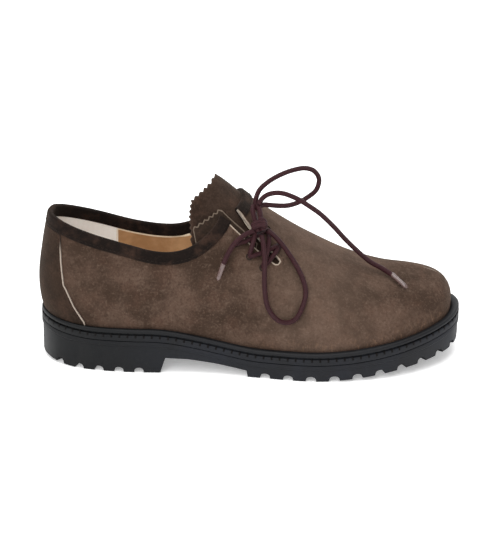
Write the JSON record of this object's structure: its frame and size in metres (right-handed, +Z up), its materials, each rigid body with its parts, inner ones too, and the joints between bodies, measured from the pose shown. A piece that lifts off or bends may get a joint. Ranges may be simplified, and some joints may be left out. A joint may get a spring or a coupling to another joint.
{
  "type": "traditional side-laced shoe",
  "caption": "Low traditional suede shoe for the right foot, laced over the outer side, with a pinked tongue, a welt and a lugged rubber sole.",
  "frame": {"origin": "on the floor, at the middle of the flat spot under the heel", "axes": "+X towards the toe, +Y towards the inner side of the foot, +Z up from the floor"},
  "size_m": [0.2989, 0.1078, 0.1419],
  "materials": {
    "suede": "napped grey-brown suede",
    "dark_suede": "darker napped suede binding",
    "rubber": "black moulded rubber, satin",
    "insole_leather": "smooth natural leather",
    "cord": "braided dark red-brown cord",
    "lace_tip": "clear brownish plastic sleeve"
  },
  "bodies": {
    "root": {"outsole": "rubber", "midsole": "rubber", "welt": "rubber", "insole": "insole_leather", "upper": "suede", "collar_band": "dark_suede", "heel_strip": "suede", "tongue": "suede", "facing_underlay": "dark_suede", "lace_bars": "cord", "lace_knot": "cord", "lace_loop_upper": "cord", "lace_loop_side": "cord", "lace_end_front": "cord", "lace_end_side": "cord", "aglet_front": "lace_tip", "aglet_side": "lace_tip"}
  },
  "joints": []
}
